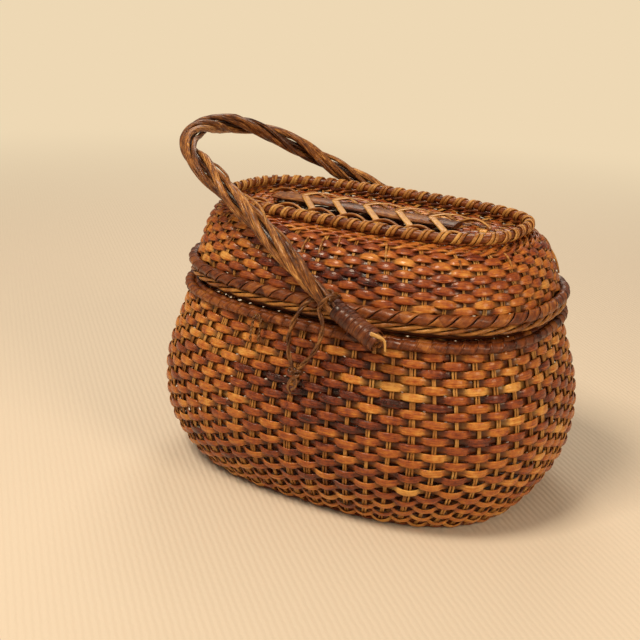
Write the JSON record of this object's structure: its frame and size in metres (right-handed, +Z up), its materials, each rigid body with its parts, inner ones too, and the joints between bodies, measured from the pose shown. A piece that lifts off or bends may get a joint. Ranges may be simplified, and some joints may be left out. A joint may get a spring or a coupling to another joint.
{
  "type": "wicker basket",
  "caption": "Oval woven wicker creel with a bellied body, a domed lid hinged on cane loops at the back, and a swinging twisted vine bail handle.",
  "frame": {"origin": "centre of the basket's bottom, on the surface it stands on", "axes": "+Z up, +X along the basket's length, +Y towards the hinges at the back"},
  "size_m": [0.345, 0.2774, 0.2814],
  "materials": {
    "weave": "varnished woven cane strips, glossy",
    "rim_cane": "varnished cane rods, wrapped",
    "light_cane": "light cane strips, varnished",
    "dark_cane": "dark thin cane",
    "slat": "brown split cane slat with grain",
    "vine": "peeled vine, worn",
    "binding": "flat cane binding"
  },
  "bodies": {
    "basket": {"body_wall": "weave", "body_base": "weave", "body_rim_outer_rod": "rim_cane", "body_rim_inner_rod": "rim_cane", "body_cane_eye": "dark_cane", "body_hinge_loops": "dark_cane", "hinge_rods": "dark_cane"},
    "lid": {"lid_wall": "weave", "lid_seat_hoop": "rim_cane", "lid_edge_rod_upper": "light_cane", "lid_edge_rod_lower": "light_cane", "lid_flange_roll": "rim_cane", "lid_top_rim_rod": "rim_cane", "lid_top_rim_lashing": "light_cane", "lid_top_panel": "weave", "ridge_bar": "slat", "ridge_ties": "light_cane", "scallops_front": "light_cane", "scallops_back": "light_cane", "lid_hinge_loops": "dark_cane", "bail_peg_front": "dark_cane", "bail_peg_back": "dark_cane"},
    "bail": {"bail_vine_1": "vine", "bail_vine_2": "vine", "bail_vine_3": "vine", "bail_vine_4": "vine", "bail_vine_5": "vine", "bail_thin_vine": "vine", "bail_end_front": "vine", "bail_end_back": "vine", "bail_binding": "binding", "tie_loop": "dark_cane", "tie_knot": "dark_cane"}
  },
  "joints": [
    {"name": "lid_hinge", "type": "hinge", "parent": "basket", "child": "lid", "pos_m": [0, 0.11981, 0.1581], "axis": [-1, 0, 0], "range_deg": [0, 105]},
    {"name": "bail_swing", "type": "hinge", "parent": "lid", "child": "bail", "pos_m": [0.026, 0, 0.1775], "axis": [0, 1, 0], "range_deg": [0, 115]}
  ]
}
